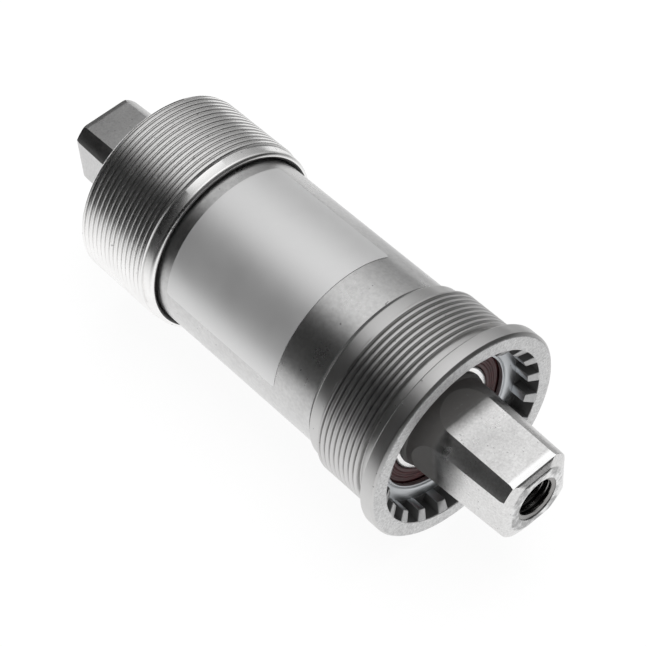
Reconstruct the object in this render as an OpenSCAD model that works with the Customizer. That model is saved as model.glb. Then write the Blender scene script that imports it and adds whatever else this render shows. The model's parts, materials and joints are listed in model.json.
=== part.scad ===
// Square-taper cartridge bottom bracket for a threaded bicycle frame shell.
// Millimetres. The spindle lies along Y: +Y is the left (non-drive) side, the flanged
// drive-side cup is at -Y. The origin is on the spindle axis, midway between the two
// faces of the frame shell. Angles around the axis are counted from +Z towards +X.

/* [Frame shell] */
// Width of the frame shell that the bracket screws into
shell_width = 68; // [66:0.5:83]
// Major diameter of both cup threads
thread_d = 34.8; // [34:0.1:36]
// Pitch of both cup threads (24 threads to the inch)
thread_pitch = 1.058; // [1:0.01:1.3]
// Width of the flat crest of a thread
thread_crest = 0.58; // [0.56:0.01:0.65]

/* [Spindle] */
// Overall length of the spindle
spindle_length = 103; // [100:1:130]
// How far the drive end stands out from the flange face
drive_overhang = 15.5; // [14:0.1:26]
// Diameter of the shaft just inside the square ends
neck_d = 16.4; // [15.9:0.1:16.8]
// Diameter of the thick middle of the spindle
middle_d = 18.8; // [18:0.1:19]
// Diameter over the rounded corners at the tip of a square end
corner_tip_d = 15.36; // [14.8:0.02:15.8]
// Width across the flats at the tip of a square end
square_tip_w = 12.7; // [12.5:0.05:12.9]
// Taper of each flat, in degrees
square_taper = 2; // [1.5:0.1:3]
// Length of each flat, from its tip edge to where the cutter runs out
flat_length = 13.6; // [12:0.1:16]
// Radius of the cutter that leaves the curved run-out
cutter_r = 8; // [6:0.5:10]
// Length of the chamfer at each end of the spindle
tip_chamfer = 0.8; // [0.5:0.1:1.3]
// Width across the flats at the end face
end_face_w = 10; // [9.6:0.1:11]
// Diameter of the round corners of the end face
end_face_d = 10.9; // [10.4:0.1:11.6]
// Turn of the flats about the spindle axis
spindle_turn = -4; // [-45:1:45]

/* [Crank bolt holes] */
// Diameter of the thread's bore
bolt_bore_d = 7; // [6.6:0.1:7.2]
// Depth of the bore, from the end face
bolt_bore_depth = 20; // [14:1:24]
// Diameter of the countersink at the end face
bolt_sink_d = 8.4; // [8.2:0.1:9.2]

/* [Cartridge] */
// Outer diameter of the steel tube
tube_d = 31.5; // [31.2:0.1:31.9]
// Radial gap between pieces that are pressed together
press_gap = 0.01; // [0.005:0.005:0.03]
// Wall of the sleeve that keeps the bearings apart
spacer_wall = 1.1; // [0.8:0.1:1.4]
// Thickness of the ring that holds the left bearing in
retainer_width = 1.2; // [0.8:0.1:2]
// Radial width of that ring
retainer_radial = 2.2; // [1.6:0.1:2.6]

/* [Bearings] */
// Bore of a bearing's inner ring, the same as the spindle's journal
bearing_bore = 17; // [16.8:0.1:17.2]
// Outside diameter of a bearing
bearing_od = 30; // [29.8:0.1:30.2]
// Width of a bearing
bearing_width = 7; // [6.6:0.1:8]
// Diameter of the circle through the ball centres
ball_pitch_d = 23.5; // [23.3:0.1:23.7]
// Diameter of a ball
ball_d = 3.6; // [3.4:0.05:3.8]
// Number of balls in a bearing
ball_count = 12; // [8:1:13]
// Gap between a ball and its raceways or pocket
ball_gap = 0.08; // [0.05:0.01:0.12]
// Thickness of a rubber seal
seal_thick = 0.5; // [0.4:0.05:0.7]
// Thickness of the steel washer behind the rubber
core_thick = 0.3; // [0.2:0.05:0.4]
// How far a seal lies below the bearing's side face
seal_recess = 0.1; // [0.05:0.05:0.2]
// Gap between a seal's lip and the turning inner ring
seal_gap = 0.1; // [0.05:0.01:0.2]

/* [Drive-side cup] */
// Diameter of the flange
flange_d = 38.1; // [37.4:0.1:40]
// Thickness of the flange
flange_thick = 2.8; // [1.8:0.1:3.4]
// Chamfer around the flange face
flange_chamfer = 0.5; // [0.2:0.05:0.6]
// Length of the smooth neck between the flange and the thread
neck_length = 2.5; // [1.8:0.1:2.8]
// Length of the thread
drive_thread_length = 9.1; // [7:0.1:11]
// Length of the whole cup, from the flange face to the inner end
drive_cup_length = 17.6; // [15:0.1:20]
// Depth of the shoulder that the bearing bears on, below the flange face
drive_shoulder_depth = 5; // [4.4:0.1:5.4]
// Diameter of the plain sleeve at the inner end
sleeve_d = 33; // [32.6:0.1:33.4]

/* [Non-drive cup] */
// Length of the whole cup
left_cup_length = 18; // [16:0.5:20]
// Depth of the shoulder that closes the cup, below its face
left_shoulder_depth = 4.4; // [4.2:0.1:5]
// How far the cup stands out of the frame shell
left_cup_proud = 1.4; // [0:0.1:3]
// Distance from the cup's face to its first full thread crest
left_thread_start = 0.9; // [0.6:0.1:1.4]
// Length of the thread
left_thread_length = 14.4; // [11:0.1:15]
// Diameter of the plain band at the inner end
band_d = 34.3; // [33.8:0.1:34.5]
// Radial clearance of the cup on the tube
cup_clearance = 0.05; // [0.02:0.01:0.08]
// Gap between the end of the tube and the cup's shoulder
end_gap = 0.3; // [0.2:0.1:0.6]

/* [Tool sockets] */
// Number of teeth in each socket
tooth_count = 20; // [16:1:24]
// Diameter of the socket behind the teeth
socket_d = 32.2; // [31.8:0.1:32.6]
// Diameter across the tips of the teeth
tooth_tip_d = 29; // [28.4:0.1:30]
// Width of a tooth at its tip
tooth_tip_w = 1.6; // [1.2:0.1:2]
// Width of a tooth at its root
tooth_root_w = 2.2; // [1.8:0.1:2.6]
// How far the teeth lie below the cup's face
tooth_recess = 0.1; // [0.05:0.05:0.3]
// Depth of the slanted lead-in at the tips of the teeth
tooth_lead = 1; // [0.6:0.1:1.4]
// Thickness of the shoulder behind the teeth
shoulder_wall = 1.3; // [1.2:0.05:1.6]
// Diameter of the hole through the shoulder
shoulder_hole_d = 24.4; // [24:0.1:25]
// Angle of the first tooth
tooth_phase = 12.5; // [0:0.5:18]

/* [Foil label] */
// Width of the label along the tube
label_w = 25.8; // [20:0.2:27]
// Gap between the label and the non-drive cup
label_inset = 2.5; // [1:0.1:4]
// Angle of the label's first edge
label_from = -85; // [-120:1:0]
// Angle of the label's second edge
label_to = 31; // [0:1:90]
// Thickness of the foil
label_thick = 0.08; // [0.05:0.01:0.15]

/* [Hidden] */
$fn = 96;
over = 1;

// Stations along the axis
drive_face_y = -shell_width / 2 - flange_thick;
drive_end_y = drive_face_y - drive_overhang;
left_end_y = drive_end_y + spindle_length;
left_cup_face_y = shell_width / 2 + left_cup_proud;
left_cup_inner_y = left_cup_face_y - left_cup_length;
drive_cup_inner_y = drive_face_y + drive_cup_length;
tube_drive_y = drive_face_y + drive_shoulder_depth;
tube_left_y = left_cup_face_y - left_shoulder_depth - end_gap;
right_bearing_y = tube_drive_y + bearing_width / 2;
left_bearing_y = tube_left_y - retainer_width - bearing_width / 2;
label_left_y = left_cup_inner_y - label_inset;

// Radii and derived sizes
thread_r = thread_d / 2;
groove_depth = (thread_pitch - thread_crest) / 2 / tan(30);
tube_r = tube_d / 2;
tube_bore_r = bearing_od / 2 + press_gap;
race_r = ball_d / 2 + ball_gap;
pitch_r = ball_pitch_d / 2;
land_depth = 0.6;
inner_land_r = pitch_r - race_r + land_depth;
outer_land_r = pitch_r + race_r - land_depth;
seal_inner_land_r = inner_land_r - 0.9;
seal_outer_land_r = outer_land_r + 0.6;
seal_inside = bearing_width / 2 - seal_recess - seal_thick - core_thick;
neck_root_r = thread_r - 0.75;

// Turns local +Z into row +Y
module along_axis() {
    rotate([-90, 0, 0]) children();
}

// A turned piece from [radius, station] points
module turned(points) {
    along_axis() rotate_extrude() polygon(points);
}

// Places children at an angle from +Z towards +X, with local X pointing outwards
module around(angle) {
    rotate([0, 0, angle - 90]) children();
}

// Outline points of a thread as rings, from one station towards another; dir is 1 or -1
function thread_points(from_y, length, dir) = [
    for (i = [0 : floor((length - thread_crest) / thread_pitch)])
        for (p = [[0, 0], [thread_crest, 0], [(thread_pitch + thread_crest) / 2, groove_depth]])
            [thread_r - p[1], from_y + dir * (i * thread_pitch + p[0])]
];

// Length that the rings really take up
function thread_span(length) =
    floor((length - thread_crest) / thread_pitch) * thread_pitch + thread_crest;

// Concave bottom of a tool socket, from the socket wall to the hole in the shoulder
function shoulder_points(face_y, dir, shoulder_depth) =
    let (floor_depth = shoulder_depth - shoulder_wall) [
        [socket_d / 2 + tooth_recess, face_y],
        [socket_d / 2, face_y + dir * tooth_recess],
        [socket_d / 2, face_y + dir * floor_depth],
        [tooth_tip_d / 2, face_y + dir * floor_depth],
        [tooth_tip_d / 2 - 0.5, face_y + dir * (floor_depth + 0.3)],
        [shoulder_hole_d / 2 + 0.3, face_y + dir * (floor_depth + 0.45)],
        [shoulder_hole_d / 2, face_y + dir * (floor_depth + 0.35)],
        [shoulder_hole_d / 2, face_y + dir * shoulder_depth]
    ];

// The ring of teeth that a splined tool turns; their ends slant down to a lead-in at the tips
module socket_teeth(face_y, dir, shoulder_depth) {
    root_r = socket_d / 2 + 0.1;
    tip_r = tooth_tip_d / 2;
    depth = shoulder_depth - shoulder_wall + 0.1;
    slant = (tooth_lead - tooth_recess) / (socket_d / 2 - tip_r);
    difference() {
        along_axis()
            translate([0, 0, face_y])
            mirror([0, 0, dir < 0 ? 1 : 0])
            for (i = [0 : tooth_count - 1])
                around(tooth_phase + i * 360 / tooth_count)
                    linear_extrude(height = depth)
                    polygon([
                        [tip_r, -tooth_tip_w / 2], [root_r, -tooth_root_w / 2],
                        [root_r, tooth_root_w / 2], [tip_r, tooth_tip_w / 2]
                    ]);
        turned([
            [tip_r - over, face_y - dir * over],
            [socket_d / 2 + over, face_y - dir * over],
            [socket_d / 2 + over, face_y + dir * (tooth_recess - over * slant)],
            [tip_r - over, face_y + dir * (tooth_lead + over * slant)]
        ]);
    }
}

// Flanged cup, pressed on the drive end of the tube; left-hand thread on the real piece
module drive_side_cup() {
    thread_y = drive_face_y + flange_thick + neck_length;
    rings = thread_points(thread_y, drive_thread_length, 1);
    color("silver") union() {
        turned(concat(
            shoulder_points(drive_face_y, 1, drive_shoulder_depth),
            [
                [tube_r + press_gap, tube_drive_y],
                [tube_r + press_gap, drive_cup_inner_y],
                [tube_r + press_gap + 0.1, drive_cup_inner_y],
                [sleeve_d / 2, drive_cup_inner_y - 0.8],
                [sleeve_d / 2, thread_y + thread_span(drive_thread_length) + 0.4]
            ],
            [for (p = [len(rings) - 2 : -1 : 0]) rings[p]],
            [
                [neck_root_r, thread_y - 0.4],
                [neck_root_r, thread_y - neck_length + 0.5],
                [neck_root_r + 0.5, thread_y - neck_length],
                [flange_d / 2 - 0.15, thread_y - neck_length],
                [flange_d / 2, thread_y - neck_length - 0.15],
                [flange_d / 2, drive_face_y + flange_chamfer],
                [flange_d / 2 - flange_chamfer, drive_face_y]
            ]
        ));
        socket_teeth(drive_face_y, 1, drive_shoulder_depth);
    }
}

// Plain cup that slides over the left end of the tube; right-hand thread on the real piece
module non_drive_cup() {
    thread_y = left_cup_face_y - left_thread_start;
    first_groove = thread_pitch - thread_crest;
    bore_r = tube_r + cup_clearance;
    rings = thread_points(thread_y, left_thread_length, -1);
    color("silver") union() {
        turned(concat(
            shoulder_points(left_cup_face_y, -1, left_shoulder_depth),
            [
                [bore_r, left_cup_face_y - left_shoulder_depth],
                [bore_r, left_cup_inner_y + 0.6],
                [bore_r + 0.45, left_cup_inner_y],
                [band_d / 2 - 0.6, left_cup_inner_y],
                [band_d / 2 - 0.2, left_cup_inner_y + 0.2],
                [band_d / 2, left_cup_inner_y + 0.6],
                [band_d / 2, thread_y - thread_span(left_thread_length) - 0.2]
            ],
            [for (p = [len(rings) - 2 : -1 : 0]) rings[p]],
            [
                [thread_r - groove_depth, thread_y + first_groove / 2],
                [thread_r, thread_y + first_groove],
                [thread_r + thread_y + first_groove - left_cup_face_y, left_cup_face_y]
            ]
        ));
        socket_teeth(left_cup_face_y, -1, left_shoulder_depth);
    }
}

// Thin steel tube that holds both bearings
module cartridge_tube() {
    color("silver") turned([
        [tube_bore_r, tube_drive_y], [tube_r, tube_drive_y],
        [tube_r, tube_left_y - 0.4], [tube_r - 0.3, tube_left_y], [tube_bore_r, tube_left_y]
    ]);
}

// Blank self-adhesive foil round part of the tube
module foil_label() {
    r_in = tube_r + press_gap;
    color("gainsboro")
        along_axis()
        around(label_from)
        rotate_extrude(angle = label_to - label_from)
        polygon([
            [r_in, label_left_y - label_w], [r_in + label_thick, label_left_y - label_w],
            [r_in + label_thick, label_left_y], [r_in, label_left_y]
        ]);
}

// Material removed from one flat, drawn with the spindle end at z = 0 and z inwards
module flat_cut() {
    reach = neck_d;
    tip_h = square_tip_w / 2;
    run_z = tip_chamfer + flat_length;
    slope = tan(square_taper);
    run_h = tip_h + flat_length * slope;
    face_h = end_face_w / 2;
    lead = (tip_h - face_h) / tip_chamfer;
    rotate([90, 0, 0]) {
        linear_extrude(height = 2 * reach, center = true)
            polygon([
                [tip_h - (tip_chamfer + over) * slope, -over], [reach, -over],
                [reach, run_z], [run_h, run_z]
            ]);
        linear_extrude(height = 2 * reach, center = true)
            polygon([
                [face_h - over * lead, -over], [reach, -over],
                [reach, tip_chamfer + over], [tip_h + over * lead, tip_chamfer + over]
            ]);
        translate([run_h + cutter_r * cos(square_taper), run_z - cutter_r * sin(square_taper), 0])
            cylinder(r = cutter_r, h = 2 * reach, center = true);
    }
}

// Bore and countersink for a crank bolt, drawn the same way
module bolt_hole() {
    sink = (bolt_sink_d - bolt_bore_d) / 2;
    translate([0, 0, -over]) cylinder(d = bolt_bore_d, h = bolt_bore_depth + over);
    translate([0, 0, -over])
        cylinder(d1 = bolt_sink_d + 2 * over, d2 = bolt_bore_d, h = sink + over);
    translate([0, 0, bolt_bore_depth])
        cylinder(d1 = bolt_bore_d, d2 = 0.4, h = bolt_bore_d / 4);
}

// Everything that is cut from one end of the spindle
module square_end() {
    for (k = [0 : 3]) around(spindle_turn + 90 * k) flat_cut();
    bolt_hole();
}

// Steel axle with two square tapered ends
module spindle() {
    journal_r = bearing_bore / 2 - press_gap;
    step = 0.8;
    shoulder_r_y = right_bearing_y + bearing_width / 2;
    shoulder_l_y = left_bearing_y - bearing_width / 2;
    journal_r_y = tube_drive_y - step;
    journal_l_y = left_bearing_y + bearing_width / 2 + step;
    color("darkgray") difference() {
        turned([
            [0, drive_end_y], [end_face_d / 2, drive_end_y],
            [corner_tip_d / 2, drive_end_y + tip_chamfer],
            [neck_d / 2, drive_face_y + step], [neck_d / 2, journal_r_y],
            [journal_r, journal_r_y + 0.3], [journal_r, shoulder_r_y],
            [middle_d / 2, shoulder_r_y], [middle_d / 2, shoulder_l_y],
            [journal_r, shoulder_l_y], [journal_r, journal_l_y - 0.3],
            [neck_d / 2, journal_l_y], [neck_d / 2, left_cup_face_y - step],
            [corner_tip_d / 2, left_end_y - tip_chamfer],
            [end_face_d / 2, left_end_y], [0, left_end_y]
        ]);
        along_axis() translate([0, 0, drive_end_y]) square_end();
        along_axis() translate([0, 0, left_end_y]) mirror([0, 0, 1]) square_end();
    }
}

// Bearing pieces, drawn round z = 0; each outline is [radius, z]
module outer_race() {
    half = bearing_width / 2;
    r = bearing_od / 2;
    color("lightgray") rotate_extrude() difference() {
        polygon([
            [outer_land_r, -seal_inside], [seal_outer_land_r, -seal_inside],
            [seal_outer_land_r, -half], [r - 0.3, -half], [r, 0.3 - half],
            [r, half - 0.3], [r - 0.3, half], [seal_outer_land_r, half],
            [seal_outer_land_r, seal_inside], [outer_land_r, seal_inside]
        ]);
        translate([pitch_r, 0]) circle(r = race_r);
    }
}

module inner_race() {
    half = bearing_width / 2;
    r = bearing_bore / 2;
    color("white") rotate_extrude() difference() {
        polygon([
            [r, -half], [seal_inner_land_r - 0.15, -half],
            [seal_inner_land_r, 0.15 - half], [seal_inner_land_r, -seal_inside],
            [inner_land_r, -seal_inside], [inner_land_r, seal_inside],
            [seal_inner_land_r, seal_inside], [seal_inner_land_r, half - 0.15],
            [seal_inner_land_r - 0.15, half], [r, half]
        ]);
        translate([pitch_r, 0]) circle(r = race_r);
    }
}

module balls() {
    color("white")
        for (i = [0 : ball_count - 1])
            rotate([0, 0, i * 360 / ball_count]) translate([pitch_r, 0, 0]) sphere(d = ball_d);
}

// Crown-shaped cage: a closed rail at the back, pockets open to the front
module ball_cage() {
    rail = 0.42;
    back = race_r + rail;
    front = 1.1;
    radial = 0.95;
    color("khaki") difference() {
        rotate_extrude() polygon([
            [pitch_r - radial, -back], [pitch_r + radial, -back],
            [pitch_r + radial, front], [pitch_r - radial, front]
        ]);
        for (i = [0 : ball_count - 1])
            rotate([0, 0, i * 360 / ball_count]) translate([pitch_r, 0, 0]) sphere(r = race_r);
    }
}

// Rubber face of a seal, with two raised ribs; it lies on the +z side of the bearing
module seal() {
    top = bearing_width / 2 - seal_recess;
    low = top - seal_thick;
    r_in = seal_inner_land_r + seal_gap;
    r_out = seal_outer_land_r - press_gap;
    color("brown") rotate_extrude() polygon([
        [r_in, low], [r_in, top - 0.2], [r_in + 0.4, top], [r_in + 0.7, top],
        [r_in + 0.9, top - 0.2], [r_in + 1.2, top - 0.2], [r_in + 1.4, top],
        [r_out - 0.8, top], [r_out - 0.6, top - 0.2], [r_out, top - 0.2], [r_out, low]
    ]);
}

// Steel washer that stiffens a seal
module seal_core() {
    top = bearing_width / 2 - seal_recess - seal_thick;
    r_in = seal_inner_land_r + 0.6;
    r_out = seal_outer_land_r - press_gap;
    color("gray") translate([0, 0, top - core_thick]) difference() {
        cylinder(r = r_out, h = core_thick);
        translate([0, 0, -over]) cylinder(r = r_in, h = core_thick + 2 * over);
    }
}

// Moves a bearing piece to the right or left bearing; flip turns its +z side to -Y
module at_bearing(y, flip) {
    along_axis() translate([0, 0, y]) mirror([0, 0, flip ? 1 : 0]) children();
}

// Sleeve between the two outer rings
module bearing_spacer() {
    r_out = tube_bore_r - press_gap;
    from_y = right_bearing_y + bearing_width / 2;
    to_y = left_bearing_y - bearing_width / 2;
    color("dimgray") turned([
        [r_out - spacer_wall, from_y], [r_out, from_y], [r_out, to_y], [r_out - spacer_wall, to_y]
    ]);
}

// Ring pressed into the open end of the tube
module left_retaining_ring() {
    r_out = tube_bore_r - press_gap;
    from_y = left_bearing_y + bearing_width / 2;
    color("silver") turned([
        [r_out - retainer_radial, from_y], [r_out, from_y],
        [r_out, tube_left_y], [r_out - retainer_radial + 0.4, tube_left_y],
        [r_out - retainer_radial, tube_left_y - 0.4]
    ]);
}

spindle();
cartridge_tube();
drive_side_cup();
non_drive_cup();
foil_label();
at_bearing(right_bearing_y, true) outer_race();  // right_outer_race
at_bearing(right_bearing_y, true) inner_race();  // right_inner_race
at_bearing(right_bearing_y, true) balls();  // right_balls
at_bearing(right_bearing_y, true) ball_cage();  // right_ball_cage
at_bearing(right_bearing_y, true) seal();  // right_outer_seal
at_bearing(right_bearing_y, true) seal_core();  // right_outer_seal_core
at_bearing(right_bearing_y, false) seal();  // right_inner_seal
at_bearing(right_bearing_y, false) seal_core();  // right_inner_seal_core
at_bearing(left_bearing_y, false) outer_race();  // left_outer_race
at_bearing(left_bearing_y, false) inner_race();  // left_inner_race
at_bearing(left_bearing_y, false) balls();  // left_balls
at_bearing(left_bearing_y, false) ball_cage();  // left_ball_cage
at_bearing(left_bearing_y, false) seal();  // left_outer_seal
at_bearing(left_bearing_y, false) seal_core();  // left_outer_seal_core
at_bearing(left_bearing_y, true) seal();  // left_inner_seal
at_bearing(left_bearing_y, true) seal_core();  // left_inner_seal_core
bearing_spacer();
left_retaining_ring();
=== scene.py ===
import json
import math

import bmesh
import bpy
from mathutils import Matrix, Vector

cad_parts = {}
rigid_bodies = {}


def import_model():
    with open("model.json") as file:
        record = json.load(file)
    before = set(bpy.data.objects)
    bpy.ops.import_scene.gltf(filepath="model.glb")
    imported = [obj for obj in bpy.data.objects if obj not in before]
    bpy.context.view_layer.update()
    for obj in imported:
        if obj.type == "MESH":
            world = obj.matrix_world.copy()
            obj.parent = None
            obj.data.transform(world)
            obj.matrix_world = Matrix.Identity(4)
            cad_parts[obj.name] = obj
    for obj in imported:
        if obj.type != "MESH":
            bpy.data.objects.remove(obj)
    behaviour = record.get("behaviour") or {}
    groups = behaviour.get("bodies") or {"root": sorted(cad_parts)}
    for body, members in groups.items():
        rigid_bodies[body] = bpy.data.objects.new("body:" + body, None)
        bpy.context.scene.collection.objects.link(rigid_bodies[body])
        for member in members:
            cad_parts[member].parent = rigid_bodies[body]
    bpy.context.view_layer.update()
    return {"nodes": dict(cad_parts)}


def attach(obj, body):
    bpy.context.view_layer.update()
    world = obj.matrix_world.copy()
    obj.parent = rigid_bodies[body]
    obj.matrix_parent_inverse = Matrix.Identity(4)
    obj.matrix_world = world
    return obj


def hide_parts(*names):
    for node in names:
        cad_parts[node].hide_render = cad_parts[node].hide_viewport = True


# Sealed-cartridge bottom bracket for square-taper cranks. The spindle lies along Y, the left
# (non-drive) side at +Y and the flanged drive side at -Y. Radii and stations below are in
# millimetres; angles run from +Z towards +X.
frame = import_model()
MM = 0.001


# Cartridge tube: a thin drawn steel tube, plated and left satin. It holds both bearings, and
# the drive-side cup is pressed on its right end.
SIDES = 240
TUBE_R = 15.75
TUBE_BORE = 15.01
TUBE_ENDS = (-31.8, 30.7)
TUBE_LEAD_IN = (0.3, 0.4)


def eased(outline, size, closed=True, steps=4):
    """Rounds the corners of a (radius, station) outline by about size. The ends of an open
    outline stay, and so do very short sides and corners that hardly bend."""
    count = len(outline)
    shortest = 0.004
    straight = 0.996
    result = []
    for i, corner in enumerate(outline):
        if not closed and i in (0, count - 1):
            result.append(corner)
            continue
        here = Vector(corner)
        before = Vector(outline[i - 1]) - here
        after = Vector(outline[(i + 1) % count]) - here
        reach = min(size, 0.45 * before.length, 0.45 * after.length)
        bend = abs(before.normalized().dot(after.normalized()))
        if reach < shortest or bend > straight:
            result.append(corner)
            continue
        a = here + before.normalized() * reach
        b = here + after.normalized() * reach
        for k in range(steps + 1):
            t = k / steps
            point = a * (1 - t) ** 2 + here * 2 * t * (1 - t) + b * t * t
            result.append((point.x, point.y))
    return result


def turned(outline, closed=True, sides=SIDES):
    """A bmesh of an outline turned round the spindle axis."""
    form = bmesh.new()
    rings = []
    for radius, station in outline:
        ring = []
        for k in range(sides):
            angle = 2 * math.pi * k / sides
            place = (radius * math.sin(angle), station, radius * math.cos(angle))
            ring.append(form.verts.new(Vector(place) * MM))
        rings.append(ring)
    pairs = list(zip(rings, rings[1:]))
    if closed:
        pairs.append((rings[-1], rings[0]))
    for one, two in pairs:
        for k in range(sides):
            n = (k + 1) % sides
            form.faces.new((one[k], one[n], two[n], two[k]))
    return form


def piece(name, form, material, body, replaces=(), crease=32.0):
    """Turns a bmesh into a finished piece on its body, in place of the CAD nodes it replaces."""
    bmesh.ops.remove_doubles(form, verts=form.verts, dist=2e-6)
    bmesh.ops.dissolve_degenerate(form, edges=form.edges, dist=1e-7)
    bmesh.ops.recalc_face_normals(form, faces=form.faces)
    mesh = bpy.data.meshes.new(name)
    form.to_mesh(mesh)
    form.free()
    mesh.shade_smooth()
    mesh.set_sharp_from_angle(angle=math.radians(crease))
    mesh.materials.append(material)
    obj = bpy.data.objects.new(name, mesh)
    bpy.context.scene.collection.objects.link(obj)
    if replaces:
        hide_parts(*replaces)
    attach(obj, body)
    return obj


class Finish:
    """A procedural material on object coordinates. add() makes a node from the values or
    sockets of its inputs, and the other methods make the kinds of node used most."""

    def __init__(self, name):
        self.material = bpy.data.materials.new(name)
        self.material.use_nodes = True
        self.tree = self.material.node_tree
        self.shader = self.tree.nodes["Principled BSDF"]
        place = self.tree.nodes.new("ShaderNodeTexCoord")
        self.place = place.outputs["Object"]

    def add(self, kind, inputs=None, **settings):
        node = self.tree.nodes.new(kind)
        for key, value in settings.items():
            setattr(node, key, value)
        for key, value in (inputs or {}).items():
            self.join(value, node.inputs[key])
        return node

    def join(self, value, socket):
        if isinstance(value, bpy.types.NodeSocket):
            self.tree.links.new(value, socket)
        else:
            socket.default_value = value

    def stretched(self, scale):
        return self.add("ShaderNodeMapping", {"Vector": self.place, "Scale": scale}).outputs[0]

    def noise(self, vector, scale=1.0, detail=3.0, roughness=0.55):
        node = self.add(
            "ShaderNodeTexNoise",
            {"Vector": vector, "Scale": scale, "Detail": detail, "Roughness": roughness},
        )
        return node.outputs[0]

    def span(self, value, low, high, to_low, to_high, smooth=False):
        node = self.add(
            "ShaderNodeMapRange",
            {0: value, 1: low, 2: high, 3: to_low, 4: to_high},
            interpolation_type="SMOOTHSTEP" if smooth else "LINEAR",
        )
        return node.outputs[0]

    def calc(self, operation, *values):
        return self.add("ShaderNodeMath", dict(enumerate(values)), operation=operation).outputs[0]

    def tint(self, factor, one, two):
        node = self.add("ShaderNodeMix", data_type="RGBA")
        self.join(factor, node.inputs[0])
        self.join((*one, 1.0) if isinstance(one, tuple) else one, node.inputs[6])
        self.join((*two, 1.0) if isinstance(two, tuple) else two, node.inputs[7])
        return node.outputs[2]

    def bump(self, height, distance, strength, under=None):
        node = self.add(
            "ShaderNodeBump", {"Height": height, "Distance": distance, "Strength": strength}
        )
        if under is not None:
            self.tree.links.new(under, node.inputs["Normal"])
        return node.outputs[0]

    def set(self, **values):
        """Sets the shader's sockets by name and hands back the material."""
        for key, value in values.items():
            self.join(value, self.shader.inputs[key.replace("_", " ")])
        return self.material


def grey(level, warm=0.0):
    """A grey of the given level, a little red where warm is above 0 and blue below it."""
    return (level * (1 + warm), level, level * (1 - warm))


TUBE_TONES = (grey(0.56, 0.004), grey(0.655, 0.004))
TUBE_SPECK = grey(0.16)


def satin_tube():
    """Drawn tube: faint lines round it, a soft mottled grain and a few dark specks."""
    f = Finish("satin_tube_steel")
    lines = f.noise(f.stretched((40, 7000, 40)), 1.0, 2.0)
    cloud = f.noise(f.place, 160.0, 4.0)
    grain = f.noise(f.place, 2900.0, 0.0)
    mottle = f.noise(f.place, 1300.0, 1.0, 0.65)
    speck = f.span(f.noise(f.place, 1500.0, 0.0), 0.835, 0.86, 0.0, 1.0)
    base = f.tint(f.span(mottle, 0.3, 0.7, 0.0, 1.0), *TUBE_TONES)
    base = f.tint(f.calc("MULTIPLY", speck, 0.75), base, TUBE_SPECK)
    worn = f.span(cloud, 0.3, 0.7, 0.27, 0.36)
    rough = f.calc("ADD", worn, f.span(grain, 0.3, 0.7, -0.02, 0.03))
    relief = f.bump(lines, 0.000012, 0.35)
    relief = f.bump(mottle, 0.00002, 0.2, relief)
    relief = f.bump(grain, 0.000012, 0.35, relief)
    return f.set(
        Base_Color=base, Metallic=1.0, Roughness=rough, Normal=relief,
        Coat_Weight=0.8, Coat_Roughness=0.3, Coat_IOR=1.65,
    )


TUBE_STEEL = satin_tube()
tube_outline = [
    (TUBE_BORE, TUBE_ENDS[0]),
    (TUBE_R, TUBE_ENDS[0]),
    (TUBE_R, TUBE_ENDS[1] - TUBE_LEAD_IN[1]),
    (TUBE_R - TUBE_LEAD_IN[0], TUBE_ENDS[1]),
    (TUBE_BORE, TUBE_ENDS[1]),
]
piece(
    "tube",
    turned(eased(tube_outline, 0.12)),
    TUBE_STEEL,
    "cartridge",
    ["cartridge_tube"],
)


# Drive-side cup: turned from steel with its flange, cut with a left-hand thread, plated, and
# pressed on the tube. Twenty broached teeth inside its mouth take the fitting tool.
PITCH = 25.4 / 24
THREAD_CREST = 17.4
THREAD_ROOT = 16.78
THREAD_STEPS = 14
CREST_SHARE = 0.42
FLANK_CURVE = 1.5
STATED_SIDE = -30 / 360


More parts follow.
